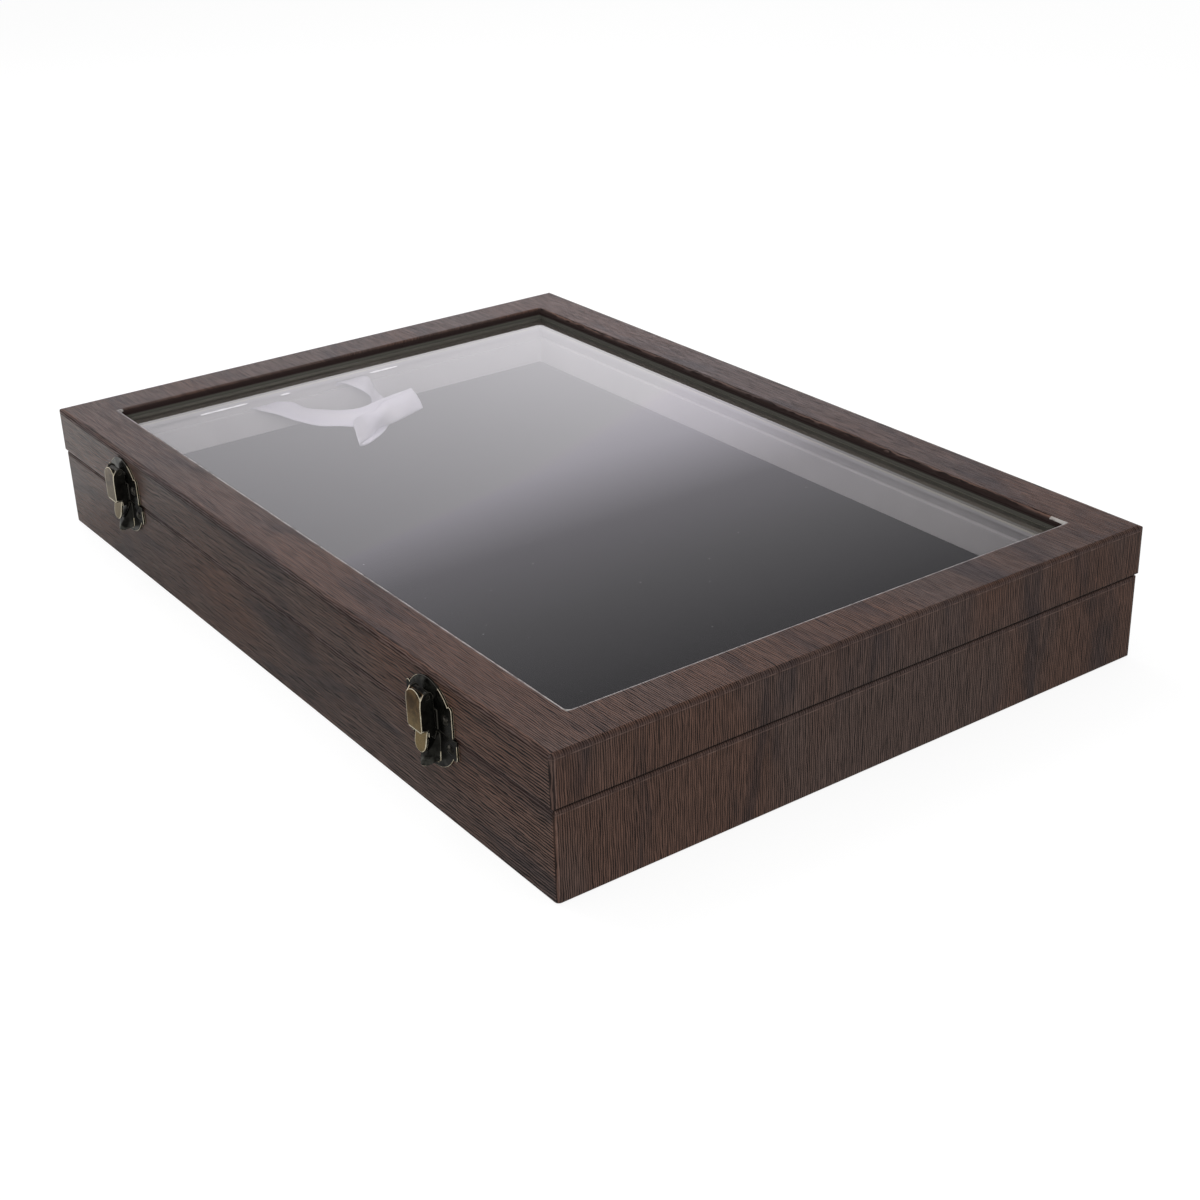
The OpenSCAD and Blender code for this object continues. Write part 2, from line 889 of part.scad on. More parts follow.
// Both cheeks, from the side outline that is the child
module cheeks() {
    difference() {
        sideways(lever_w)
            children();
        translate([lever_t - lever_w / 2, -past, -2 * lever_pin_h])
            cube([lever_w - 2 * lever_t, lever_reach + 2 * past, 4 * lever_pin_h]);
    }
}

module latch_lever(side) {
    color([0.34, 0.28, 0.18])
        at_latch(side)
            difference() {
                union() {
                    intersection() {
                        union() {
                            cheeks()
                                cheek_outline();
                            intersection() {
                                sideways(lever_w)
                                    strip_outline();
                                pressed(0, lever_reach + past)
                                    arch_outline();
                            }
                            sideways(lever_w)
                                tongue_outline();
                        }
                        pressed(0, lever_reach + past)
                            lever_front();
                    }
                    cheeks()
                        flange_outline();
                }
                lever_pin_shape(lever_pin_r + running_gap, lever_w + 2 * past);
            }
}

bottom_sheet();
base_wrap();
floor_board();
base_rail(front);  // base_front_rail
base_rail(right);  // base_right_rail
base_rail(back);  // base_back_rail
base_rail(left);  // base_left_rail
liner(front);  // liner_front
liner(right);  // liner_right
liner(back);  // liner_back
liner(left);  // liner_left
pad_board();
pad_foam();
pad_cover();
stay_ribbon();
lid_wrap();
lid_rail(front);  // lid_front_rail
lid_rail(right);  // lid_right_rail
lid_rail(back);  // lid_back_rail
lid_rail(left);  // lid_left_rail
glass_pane();
retainer(front);  // retainer_front
retainer(right);  // retainer_right
retainer(back);  // retainer_back
retainer(left);  // retainer_left
hinge_base_leaf(-1);  // left_hinge_base_leaf
hinge_base_leaf(1);  // right_hinge_base_leaf
hinge_lid_leaf(-1);  // left_hinge_lid_leaf
hinge_lid_leaf(1);  // right_hinge_lid_leaf
hinge_pin(-1);  // left_hinge_pin
hinge_pin(1);  // right_hinge_pin
base_hinge_nails();
lid_hinge_nails();
latch_lid_plate(-1);  // left_latch_lid_plate
latch_lid_plate(1);  // right_latch_lid_plate
latch_base_plate(-1);  // left_latch_base_plate
latch_base_plate(1);  // right_latch_base_plate
latch_lever(-1);  // left_latch_lever
latch_lever(1);  // right_latch_lever
latch_pin(-1);  // left_latch_pin
latch_pin(1);  // right_latch_pin
base_latch_nails();
lid_latch_nails();
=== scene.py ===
import math
from contextlib import contextmanager

import bmesh
import bpy
import numpy as np
from mathutils import Matrix, Vector


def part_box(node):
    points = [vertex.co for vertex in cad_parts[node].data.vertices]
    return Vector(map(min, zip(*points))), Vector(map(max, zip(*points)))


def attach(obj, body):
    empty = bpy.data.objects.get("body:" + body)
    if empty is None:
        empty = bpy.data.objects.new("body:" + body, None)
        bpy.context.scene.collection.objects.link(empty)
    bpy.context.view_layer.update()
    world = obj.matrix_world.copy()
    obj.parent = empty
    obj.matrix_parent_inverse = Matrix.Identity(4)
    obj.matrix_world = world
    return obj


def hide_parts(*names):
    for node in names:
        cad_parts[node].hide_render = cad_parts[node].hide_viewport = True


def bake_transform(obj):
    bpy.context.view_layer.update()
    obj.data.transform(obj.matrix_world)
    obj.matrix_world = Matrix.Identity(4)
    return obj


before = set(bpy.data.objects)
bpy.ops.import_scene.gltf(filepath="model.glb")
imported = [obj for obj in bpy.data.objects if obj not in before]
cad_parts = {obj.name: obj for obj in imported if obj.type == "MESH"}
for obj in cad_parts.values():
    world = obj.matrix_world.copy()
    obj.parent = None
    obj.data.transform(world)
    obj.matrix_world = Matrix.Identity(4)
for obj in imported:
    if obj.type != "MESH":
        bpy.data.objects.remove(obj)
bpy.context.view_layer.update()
print("frame loaded:", len(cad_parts), "nodes")

# The case's outer sides, its top and the frame's inner sides, read from the frame in metres
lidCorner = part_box("lid_wrap")[1]
edges = {
    "x": lidCorner.x,
    "y": lidCorner.y,
    "top": lidCorner.z,
    "windowX": -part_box("lid_left_rail")[1].x,
    "windowY": -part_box("lid_front_rail")[1].y,
}


# Shader maths: a Link is one output socket, and arithmetic on it adds the nodes.
class Link:
    def __init__(self, tree, socket):
        self.tree = tree
        self.socket = socket

    def out(self, name):
        return Link(self.tree, pick(self.socket.node.outputs, name))

    def __add__(self, other):
        return self.tree.maths("ADD", self, other)

    def __radd__(self, other):
        return self.tree.maths("ADD", other, self)

    def __sub__(self, other):
        return self.tree.maths("SUBTRACT", self, other)

    def __rsub__(self, other):
        return self.tree.maths("SUBTRACT", other, self)

    def __mul__(self, other):
        return self.tree.maths("MULTIPLY", self, other)

    def __rmul__(self, other):
        return self.tree.maths("MULTIPLY", other, self)

    def __truediv__(self, other):
        return self.tree.maths("DIVIDE", self, other)

    def __pow__(self, other):
        return self.tree.maths("POWER", self, other)

    def __gt__(self, other):
        return self.tree.maths("GREATER_THAN", self, other)

    def __lt__(self, other):
        return self.tree.maths("LESS_THAN", self, other)

    def __neg__(self):
        return self.tree.maths("MULTIPLY", self, -1.0)

    def __abs__(self):
        return self.tree.maths("ABSOLUTE", self)


def pick(sockets, key):
    if isinstance(key, int):
        return sockets[key]
    return next(s for s in sockets if s.identifier == key or s.name == key)


class Shading:
    def __init__(self, owner):
        owner.use_nodes = True
        self.tree = owner.node_tree
        self.tree.nodes.clear()

    def node(self, kind, settings=None, inputs=None):
        made = self.tree.nodes.new(kind)
        for key, value in (settings or {}).items():
            if key == "stops":
                self.fillRamp(made.color_ramp, value)
            else:
                setattr(made, key, value)
        for key, value in (inputs or {}).items():
            socket = pick(made.inputs, key)
            if isinstance(value, Link):
                self.tree.links.new(value.socket, socket)
            else:
                socket.default_value = value
        return Link(self, made.outputs[0]) if len(made.outputs) else made

    def fillRamp(self, ramp, stops):
        while len(ramp.elements) < len(stops):
            ramp.elements.new(0.5)
        for element, (place, value) in zip(ramp.elements, stops):
            element.position = place
            element.color = (value, value, value, 1) if isinstance(value, (int, float)) else (*value, 1)

    def maths(self, operation, *values):
        return self.node("ShaderNodeMath", {"operation": operation}, dict(enumerate(values)))

    def place(self):                                  # the point's own position, in metres
        return self.node("ShaderNodeTexCoord").out("Object")

    def axes(self, vector):
        split = self.node("ShaderNodeSeparateXYZ", None, {0: vector})
        return split.out("X"), split.out("Y"), split.out("Z")

    def vector(self, x, y, z):
        return self.node("ShaderNodeCombineXYZ", None, {0: x, 1: y, 2: z})

    def noise(self, vector, scale=1.0, detail=2.0, rough=0.5, wobble=0.0):
        return self.node("ShaderNodeTexNoise", None, {
            "Vector": vector, "Scale": scale, "Detail": detail, "Roughness": rough, "Distortion": wobble})

    def ramp(self, value, *stops):
        return self.node("ShaderNodeValToRGB", {"stops": stops}, {0: value})

    def spread(self, value, low, high, toLow=0.0, toHigh=1.0):
        return self.node("ShaderNodeMapRange", {"interpolation_type": "SMOOTHSTEP"}, {
            "Value": value, "From Min": low, "From Max": high, "To Min": toLow, "To Max": toHigh})

    def fade(self, value, low, high):
        return self.spread(value, low, high, 1.0, 0.0)

    def clamp(self, value):
        return self.node("ShaderNodeClamp", None, {"Value": value, "Min": 0.0, "Max": 1.0})

    def tint(self, share, first, second, blend="MIX"):
        four = [v if isinstance(v, Link) else (*v, 1) for v in (first, second)]
        return self.node("ShaderNodeMix", {"data_type": "RGBA", "blend_type": blend}, {
            "Factor_Float": share, "A_Color": four[0], "B_Color": four[1]}).out("Result_Color")

    def bump(self, height, depth, strength=1.0):
        return self.node("ShaderNodeBump", None, {"Height": height, "Distance": depth, "Strength": strength})

    def surface(self, **inputs):
        named = {key.replace("_", " "): value for key, value in inputs.items()}
        return self.node("ShaderNodeBsdfPrincipled", None, named)

    def finish(self, shader, target="ShaderNodeOutputMaterial"):
        self.node(target, None, {"Surface": shader})


def newMaterial(name, look):
    material = bpy.data.materials.new(name)
    look(Shading(material))
    return material


# Leatherette, embossed with a fine wood grain. It runs along X on the top, the front and the back,
# and upright on the two ends. Rates are per metre, across the grain and along it.
leather = {
    "dark": (0.0040, 0.0025, 0.0022), "light": (0.150, 0.097, 0.081),
    "grey": (0.62, 0.67, 0.76), "red": (1.12, 0.94, 0.82),
    "steps": (620.0, 80.0), "threads": (2400.0, 110.0), "patches": (64.0, 15.0), "warmth": (26.0, 9.0),
    "pitch": 0.00074, "pitchEnds": 0.00080, "pitchFront": 0.00104,
    "stray": 1.6,                                     # most that a line is out of step, in lines
    "threadShare": 0.22,
    "drift": 0.0016, "driftRates": (14.0, 60.0, 14.0), "waver": 0.0006, "waverRate": 210.0,
    "even": 0.42, "evenShare": 0.25, "endPaintedShade": 0.16,  # the ends are fainter and darker
    "relief": 0.000025, "roughness": 0.50, "polish": 0.33, "dull": 0.3,
    "gloss": 0.32, "coat": 0.32, "coatRoughness": 0.3,
    "sheet": 0.0013,                                  # how near a side the side's own sheet begins
}

# Its outer edges: painted shade on the bends over them, a painted highlight on the folds beside them and
# painted shade along the seam
leatherEdges = {
    "bendShade": (0.030, 0.0150, 0.0115), "bendShadeShare": 0.5,
    "bends": ((0.0466, 0.0473, 0.0484, 0.0489), (0.0290, 0.0295, 0.0309, 0.0311)),
    "creaseHighlight": (0.230, 0.150, 0.125), "creaseHighlightShare": 0.35, "creaseWidth": 0.0003,
    "baseFold": 0.0293, "hemFold": 0.0323, "topFold": 0.0474, "endFold": 0.1186,
    "seamShade": (0.005, 0.0035, 0.003), "seamShadeShare": 0.85, "seam": 0.0311, "seamWidth": (0.0003, 0.0007),
    "outer": 0.0025,
}

# The frame's inner faces, painted dark as shade and paler olive grey towards their foot, and a painted
# highlight on the right and front rims
leatherLip = {
    "top": (0.0210, 0.0120, 0.0105), "foot": (0.080, 0.078, 0.065), "footFrom": (0.0461, 0.0466),
    "rim": (0.46, 0.44, 0.42), "rimShare": 0.8, "rimX": 0.15, "rimY": -0.10, "rimDepth": 0.0008,
    "lipEase": (-0.0003, 0.0009), "rimEase": (0.0006, 0.0015), "rimReach": 0.001,
}


def leatherGrain(s, x, y, z, onSide, onEnd):
    # Each line is the crest of a sine across the sheet, and a slow noise puts it a little out of
    # step with the next, so that the lines part and merge.
    alongX, alongY, alongZ = leather["driftRates"]
    drift = s.noise(s.vector(x * alongX, y * alongY, z * alongZ), 1.0, 2.0) - 0.5
    waver = s.noise(s.place(), leather["waverRate"], 1.0) - 0.5
    along = x + (z - x) * onEnd
    # the way across carries on from the top down the long sides, with no break at the edge
    across = y - (z - edges["top"]) * s.maths("SIGN", y) * (1.0 - onEnd)
    across = across + (drift * leather["drift"] + waver * leather["waver"]) * (1.0 - onSide * onEnd)
    through = z + (y - z) * onSide + (x - z) * onEnd

    def streaks(rates, detail, rough=0.5, wobble=0.0):
        place = s.vector(along * rates[1], across * rates[0], through * rates[1])
        return s.noise(place, 1.0, detail, rough, wobble)

    pitch = leather["pitch"] + onEnd * (leather["pitchEnds"] - leather["pitch"])
    pitch = pitch + onSide * (1.0 - onEnd) * (leather["pitchFront"] - leather["pitch"])
    step = streaks(leather["steps"], 2.0, 0.6) * (math.tau * leather["stray"])
    lines = s.spread(s.maths("SINE", across / pitch * math.tau + step), -0.4, 0.6)
    threads = s.spread(streaks(leather["threads"], 1.0), 0.42, 0.58)
    ridges = lines * (1.0 - leather["threadShare"]) + threads * leather["threadShare"]
    ridges = ridges + (leather["even"] - ridges) * leather["evenShare"] * onEnd
    patches = s.spread(streaks(leather["patches"], 3.0, 0.6, 0.5), 0.50, 0.66)
    warmth = s.spread(streaks(leather["warmth"], 2.0), 0.38, 0.64)
    return ridges, patches, warmth


def leatherFolds(s, x, y, z, onEnd):
    # Over an edge the sheet is stretched smooth. Its folds get a painted highlight, and the bends and the
    # seam get painted shade.
    reach = leatherEdges["outer"]
    outer = s.maths("MAXIMUM", abs(x) > edges["x"] - reach, abs(y) > edges["y"] - reach)
    width = leatherEdges["creaseWidth"]

    def fold(where, name):
        return s.fade(abs(where - leatherEdges[name]), width * 0.3, width)

    upper, lower = [s.spread(z, a, b) * s.fade(z, c, d) for a, b, c, d in leatherEdges["bends"]]
    foldHighlights = (fold(z, "baseFold") + fold(z, "topFold") + fold(abs(y), "endFold")) * onEnd
    foldHighlights = foldHighlights + fold(z, "hemFold") * (1.0 - onEnd)
    seamShade = s.fade(abs(z - leatherEdges["seam"]), *leatherEdges["seamWidth"])
    return upper + lower, outer, foldHighlights * outer, seamShade * outer


def leatherInside(s, x, y, z):
    windowX, windowY = edges["windowX"], edges["windowY"]
    near, far = leatherLip["lipEase"]
    shadedLip = s.fade(abs(x), windowX + near, windowX + far) * s.fade(abs(y), windowY + near, windowY + far)
    foot = s.fade(z, *leatherLip["footFrom"])
    near, far = leatherLip["rimEase"]
    reach = leatherLip["rimReach"]
    # the right and front rims of the window get a painted highlight
    right = s.fade(x, windowX + near, windowX + far) * (x > leatherLip["rimX"]) * (abs(y) < windowY + reach)
    front = s.fade(-y, windowY + near, windowY + far) * (y < leatherLip["rimY"]) * (abs(x) < windowX + reach)
    rim = s.clamp(right + front) * (z > edges["top"] - leatherLip["rimDepth"])
    return shadedLip, foot, rim


def leatherLook(s):
    x, y, z = s.axes(s.place())
    onSide = abs(y) > edges["y"] - leather["sheet"]
    onEnd = abs(x) > edges["x"] - leather["sheet"]
    ridges, patches, warmth = leatherGrain(s, x, y, z, onSide, onEnd)
    bendShade, outer, foldHighlights, seamShade = leatherFolds(s, x, y, z, onEnd)
    shadedLip, foot, rim = leatherInside(s, x, y, z)
    broken = s.spread(s.noise(s.place(), 320.0, 3.0, 0.6), 0.36, 0.62, 0.25, 1.0)
    colour = s.tint(ridges, leather["dark"], leather["light"])
    colour = s.tint(patches, colour, leather["grey"], "MULTIPLY")
    colour = s.tint(warmth, colour, leather["red"], "MULTIPLY")
    # painted shade: the end faces are darkened
    colour = s.tint(onEnd * leather["endPaintedShade"], colour, (0.0, 0.0, 0.0))
    # painted shade on the bends over the outer edges
    colour = s.tint(bendShade * outer * leatherEdges["bendShadeShare"], colour, leatherEdges["bendShade"])
    # painted highlight along the folds
    colour = s.tint(foldHighlights * broken * leatherEdges["creaseHighlightShare"], colour, leatherEdges["creaseHighlight"])
    # painted shade along the seam between lid and base
    colour = s.tint(seamShade * leatherEdges["seamShadeShare"], colour, leatherEdges["seamShade"])
    # painted shade on the frame's inner faces, paler towards their foot
    colour = s.tint(shadedLip, colour, s.tint(foot, leatherLip["top"], leatherLip["foot"]))
    # painted highlight on the right and front rims
    colour = s.tint(rim * broken * leatherLip["rimShare"], colour, leatherLip["rim"])
    roughness = leather["roughness"] - ridges * leather["polish"] + (seamShade + shadedLip + bendShade) * leather["dull"]
    s.finish(s.surface(
        Base_Color=colour, Roughness=roughness, Specular_IOR_Level=leather["gloss"],
        Coat_Weight=ridges * leather["coat"] * (1.0 - shadedLip), Coat_Roughness=leather["coatRoughness"],
        Normal=s.bump(ridges * (1.0 - shadedLip), leather["relief"], 0.9)))


# Pale lining card, and the strips under the glass with a cream line of painted reflection and a dark band
# along their upper edge, painted shade and painted reflection of the lip
lining = {
    "colour": (0.722, 0.700, 0.700), "shade": (0.648, 0.627, 0.630), "fibre": (0.76, 0.75, 0.75),
    "line": (0.80, 0.77, 0.66), "lineFrom": 0.0402,
    "darkBand": (0.340, 0.325, 0.275), "darkBandFrom": 0.0409, "darkBandEase": 0.0001,
    "roughness": 0.62, "gloss": 0.35, "relief": 0.00006,
}


def liningLook(s):
    where = s.place()
    height = s.axes(where)[2]
    fibre = s.noise(where, 1800.0, 3.0, 0.6)
    blotch = s.noise(where, 45.0, 2.0)
    ease = lining["darkBandEase"]
    darkBandMask = s.spread(height, lining["darkBandFrom"] - ease, lining["darkBandFrom"] + ease)
    colour = s.tint(s.spread(blotch, 0.3, 0.7), lining["shade"], lining["colour"])
    colour = s.tint(fibre * 0.25, colour, lining["fibre"])
    # painted reflection: a cream line on the strips below the dark band
    colour = s.tint(height > lining["lineFrom"], colour, lining["line"])
    # painted shade and painted reflection of the dark lip: the dark band along the strips' upper edge
    colour = s.tint(darkBandMask, colour, lining["darkBand"])
    s.finish(s.surface(
        Base_Color=colour, Roughness=lining["roughness"] + fibre * 0.12,
        Specular_IOR_Level=lining["gloss"], Normal=s.bump(fibre, lining["relief"], 0.5)))


# Raw boards and the felt below: two colours of fibre, their scale, detail and roughness
rawSheets = {
    "fibreboard": {"first": (0.20, 0.125, 0.070), "second": (0.42, 0.30, 0.18), "scale": 900.0,
                   "detail": 4.0, "rough": 0.65, "roughness": 0.85, "relief": 0.0002, "strength": 0.5},
    "greyCard": {"first": (0.30, 0.25, 0.18), "second": (0.46, 0.40, 0.31), "scale": 1200.0,
                 "detail": 3.0, "rough": 0.6, "roughness": 0.9, "relief": 0.0001, "strength": 0.4},
    "blackFelt": {"first": (0.008, 0.007, 0.007), "second": (0.030, 0.027, 0.026), "scale": 1500.0,
                  "detail": 4.0, "rough": 0.7, "roughness": 0.95, "relief": 0.0003, "strength": 0.8,
                  "sheen": 0.25},
}


def rawLook(sheet):
    def look(s):
        fibre = s.noise(s.place(), sheet["scale"], sheet["detail"], sheet["rough"])
        s.finish(s.surface(
            Base_Color=s.tint(fibre, sheet["first"], sheet["second"]), Roughness=sheet["roughness"],
            Sheen_Weight=sheet.get("sheen", 0.0), Sheen_Roughness=0.5,
            Normal=s.bump(fibre, sheet["relief"], sheet["strength"])))
    return look


# Black velvet with a faint nap and a few pale specks of lint
velvet = {
    "colour": (0.0065, 0.0065, 0.0075), "nap": (0.0160, 0.0160, 0.0180), "lint": (0.42, 0.42, 0.44),
    "specks": 190.0, "speckSize": (0.035, 0.075), "bare": 0.72, "roughness": 0.92, "gloss": 0.12,
    "sheen": 0.06, "sheenRoughness": 0.45, "relief": 0.00025,
}


def velvetLook(s):
    where = s.place()
    nap = s.noise(where, 2600.0, 3.0, 0.7)
    brushed = s.noise(where, 26.0, 3.0, 0.55, 0.6)
    # one speck in each cell of a scattered pattern, where the cell's own lot says so
    cells = s.node("ShaderNodeTexVoronoi", {"feature": "F1"}, {
        "Vector": where, "Scale": velvet["specks"], "Randomness": 1.0})
    lot, size = s.axes(cells.out("Color"))[:2]
    speck = s.fade(cells.out("Distance"), *velvet["speckSize"]) * (lot > velvet["bare"]) * size
    pile = s.spread(nap, 0.35, 0.7) * s.spread(brushed, 0.3, 0.75, 0.35, 1.0)
    colour = s.tint(speck, s.tint(pile, velvet["colour"], velvet["nap"]), velvet["lint"])
    s.finish(s.surface(
        Base_Color=colour, Roughness=velvet["roughness"], Specular_IOR_Level=velvet["gloss"],
        Sheen_Weight=velvet["sheen"], Sheen_Roughness=velvet["sheenRoughness"],
        Normal=s.bump(nap, velvet["relief"], 0.7)))


# Thin beads that glow pale: a painted highlight for the glints along the left strip's lower edge
glint = {
    "colour": (0.86, 0.86, 0.88), "light": (0.97, 0.97, 0.98),
    "glow": (0.5, 0.5, 0.52), "glowLight": (0.7, 0.7, 0.7), "gloss": 0.6, "relief": 0.00004,
}


def glintLook(s):
    cloud = s.noise(s.place(), 900.0, 2.0)
    # the beads glow: a painted highlight
    s.finish(s.surface(
        Base_Color=s.tint(cloud, glint["colour"], glint["light"]), Roughness=0.10 + cloud * 0.1,
        Specular_IOR_Level=glint["gloss"], Normal=s.bump(cloud, glint["relief"], 0.4),
        Emission_Color=s.tint(cloud, glint["glow"], glint["glowLight"]), Emission_Strength=1.0))


# Satin ribbon: its weave follows the ribbon's own length and width, in metres
satin = {
    "colour": (0.955, 0.925, 1.0), "shade": (0.850, 0.825, 0.935), "selvedge": (0.78, 0.77, 0.86),
    "selvedgeFrom": (0.0051, 0.0056), "weft": 6240.0, "warp": 5200.0, "roughness": 0.46, "gloss": 0.5,
    "sheen": 0.15, "sheenRoughness": 0.4, "relief": 0.00003,
}


def ribbonLook(s):
    across, along = s.axes(s.node("ShaderNodeUVMap", {"uv_map": "cloth"}))[:2]
    weave = s.maths("SINE", along * satin["weft"]) * 0.5 + s.maths("SINE", across * satin["warp"]) * 0.25
    selvedge = s.spread(abs(across), *satin["selvedgeFrom"])
    cloud = s.noise(s.vector(across * 90, along * 40, 0.0), 1.0, 2.0)
    colour = s.tint(s.spread(cloud, 0.3, 0.7), satin["shade"], satin["colour"])
    colour = s.tint(selvedge * 0.5, colour, satin["selvedge"])
    s.finish(s.surface(
        Base_Color=colour, Roughness=satin["roughness"] + selvedge * 0.2, Specular_IOR_Level=satin["gloss"],
        Sheen_Weight=satin["sheen"], Sheen_Roughness=satin["sheenRoughness"],
        Normal=s.bump(weave + selvedge * 1.5, satin["relief"], 0.6)))


# Darkened bronze of the latches, and the bright metal of their edges, worn and with a painted highlight
bronze = {
    "black": (0.022, 0.021, 0.018), "grey": (0.150, 0.150, 0.130), "dark": (0.150, 0.092, 0.045),
    "brown": (0.370, 0.235, 0.110), "wornGlint": (0.96, 0.88, 0.68), "goldReflection": (0.80, 0.62, 0.32),
    "wear": (0.55, 0.45, 0.28), "dull": (0.060, 0.056, 0.046),
    "tarnish": 0.7,                                   # how much blacker the left latch is
    "middle": 0.112, "front": -0.1238, "plateFront": -0.1222, "leverFront": -0.1256,
    "halfLever": 0.00380, "halfTongue": 0.00290, "plateSides": (0.0056, 0.0060), "rub": 0.0001,
    "leverFoot": 0.0316, "tongueEnd": 0.0265, "tongueFoot": 0.0233, "reflectionHeights": (0.0290, 0.0405),
    "upperEnd": (0.0405, 0.0440), "lowerEnd": (0.0200, 0.0235),
    "seam": 0.0305, "seamShadeEase": (0.0011, 0.0014),
}


def latchPlaces(s):
    # how far a point is from its lever's middle, and its own depth and height
    x, y, z = s.axes(s.place())
    return abs(abs(x) - bronze["middle"]), y, z


def bronzeLook(s):
    where = s.place()
    aside, y, z = latchPlaces(s)
    toFront = s.fade(s.axes(s.node("ShaderNodeTexCoord").out("Normal"))[1], -0.80, -0.55)
    front = toFront * s.fade(y, bronze["front"] - 0.0002, bronze["front"]) * (z > bronze["tongueFoot"])
    patina = s.noise(where, 320.0, 4.0, 0.62, 0.5)
    grit = s.noise(where, 2400.0, 2.0)
    # the faces that face the front are brown, and the plates and cheeks behind them are nearly black
    ends = s.spread(z, *bronze["upperEnd"]) + s.fade(z, *bronze["lowerEnd"])
    black = s.tint(s.spread(patina, 0.36, 0.62) * (0.25 + ends * 0.75), bronze["black"], bronze["grey"])
    brown = s.tint(s.spread(patina, 0.36, 0.66), bronze["dark"], bronze["brown"])
    # painted reflection: the fronts turn gold towards the bottom
    brown = s.tint(s.spread(z, *bronze["reflectionHeights"], 0.55, 0.0), brown, bronze["goldReflection"])
    brown = s.tint((s.axes(where)[0] < 0.0) * bronze["tarnish"], brown, black)
    # their borders are bright, worn and with a painted highlight: the lever's two sides and foot, and the
    # outline of its tongue, whose end is the arc at one distance from the tongue's end point
    rub = bronze["rub"]
    below = s.maths("MINIMUM", z - bronze["tongueEnd"], 0.0)
    reach = (aside * aside + below * below) ** 0.5
    onTongue = z < bronze["leverFoot"] - 0.0004
    border = s.spread(aside, bronze["halfLever"] - rub, bronze["halfLever"] + rub) * (1.0 - onTongue)
    border = border + s.spread(reach, bronze["halfTongue"] - rub, bronze["halfTongue"] + rub) * onTongue
    border = s.clamp(border + (z < bronze["leverFoot"]) * (1.0 - onTongue)) * front
    # worn edges with a painted highlight
    colour = s.tint(border * 0.85, s.tint(front, black, brown), bronze["wornGlint"])
    s.finish(s.surface(
        Base_Color=colour, Metallic=0.92 - border * 0.4, Roughness=0.17 + patina * 0.14,
        Normal=s.bump(grit, 0.00003, 0.35)))


def wornGlintLook(s):
    aside, y, z = latchPlaces(s)
    wear = s.spread(s.noise(s.place(), 420.0, 3.0, 0.6), 0.30, 0.62)
    # the outlines of the plates and of the lever's front shine, worn and with a painted highlight, and the
    # other edges, and the outlines by the seam as painted shade, are dull
    outline = s.spread(y, bronze["plateFront"] - 0.0004, bronze["plateFront"] + 0.0002)
    # painted shade: the plates' outlines stay dull by the seam, under the lid's edge
    outline = outline * s.spread(abs(z - bronze["seam"]), *bronze["seamShadeEase"])
    outline = outline * s.spread(aside, *bronze["plateSides"])
    outline = outline + s.fade(y, bronze["leverFront"], bronze["leverFront"] + 0.0006)
    outline = outline + (y < bronze["front"] + 0.0002) * (z < bronze["leverFoot"] - 0.0006)
    outline = s.clamp(outline + (z < bronze["tongueFoot"] + 0.0003))
    colour = s.tint(outline, bronze["dull"], s.tint(wear, bronze["wear"], bronze["wornGlint"]))
    s.finish(s.surface(Base_Color=colour, Metallic=0.45, Roughness=0.26 + wear * 0.08))


# Aged brass of the hinges and of the nails' domed heads
brasses = {
    "agedBrass": {"dark": (0.16, 0.11, 0.055), "light": (0.36, 0.26, 0.13), "from": 0.3,
                  "scale": 260.0, "detail": 4.0, "metal": 1.0, "roughness": 0.32, "rougher": 0.14,
                  "relief": 0.00004, "strength": 0.3},
    "nailBrass": {"dark": (0.028, 0.026, 0.022), "light": (0.130, 0.122, 0.100), "from": 0.35,
                  "scale": 700.0, "detail": 3.0, "metal": 0.92, "roughness": 0.22, "rougher": 0.12,
                  "relief": 0.00005, "strength": 0.5},
}


def brassLook(brass):
    def look(s):
        patina = s.noise(s.place(), brass["scale"], brass["detail"], 0.6)
        colour = s.tint(s.spread(patina, brass["from"], 0.7), brass["dark"], brass["light"])
        roughness = brass["roughness"] + patina * brass["rougher"]
        s.finish(s.surface(
            Base_Color=colour, Metallic=brass["metal"], Roughness=roughness,
            Normal=s.bump(patina, brass["relief"], brass["strength"])))
    return look


# Clear pane. Its outer side carries the reflection of both faces, and light passes through it.
pane = {"strength": 2.8, "tint": (0.965, 0.957, 0.962), "index": 1.5, "roughness": 0.012}


def glassLook(s):
    grazing = s.node("ShaderNodeFresnel", None, {"IOR": pane["index"]})
    outside = 1.0 - s.node("ShaderNodeNewGeometry").out("Backfacing")
    clear = s.node("ShaderNodeBsdfTransparent", None, {"Color": (*pane["tint"], 1)})
    mirror = s.node("ShaderNodeBsdfAnisotropic", None, {
        "Color": (1, 1, 1, 1), "Roughness": pane["roughness"]})
    share = s.clamp(grazing * pane["strength"] * outside)
    s.finish(s.node("ShaderNodeMixShader", None, {0: share, 1: clear, 2: mirror}))


finishes = {
    "leatherette": leatherLook, "liningPaper": liningLook, "blackVelvet": velvetLook,
    "satinRibbon": ribbonLook, "glowingGlint": glintLook, "agedBronze": bronzeLook, "wornGlintEdge": wornGlintLook,
    "clearPane": glassLook,
}
finishes.update({name: rawLook(sheet) for name, sheet in rawSheets.items()})
finishes.update({name: brassLook(brass) for name, brass in brasses.items()})
made = {name: newMaterial(name, look) for name, look in finishes.items()}
print("finishes made:", len(made))


def dress(node, finish):
    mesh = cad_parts[node].data
    mesh.materials.clear()
    mesh.materials.append(made[finish])


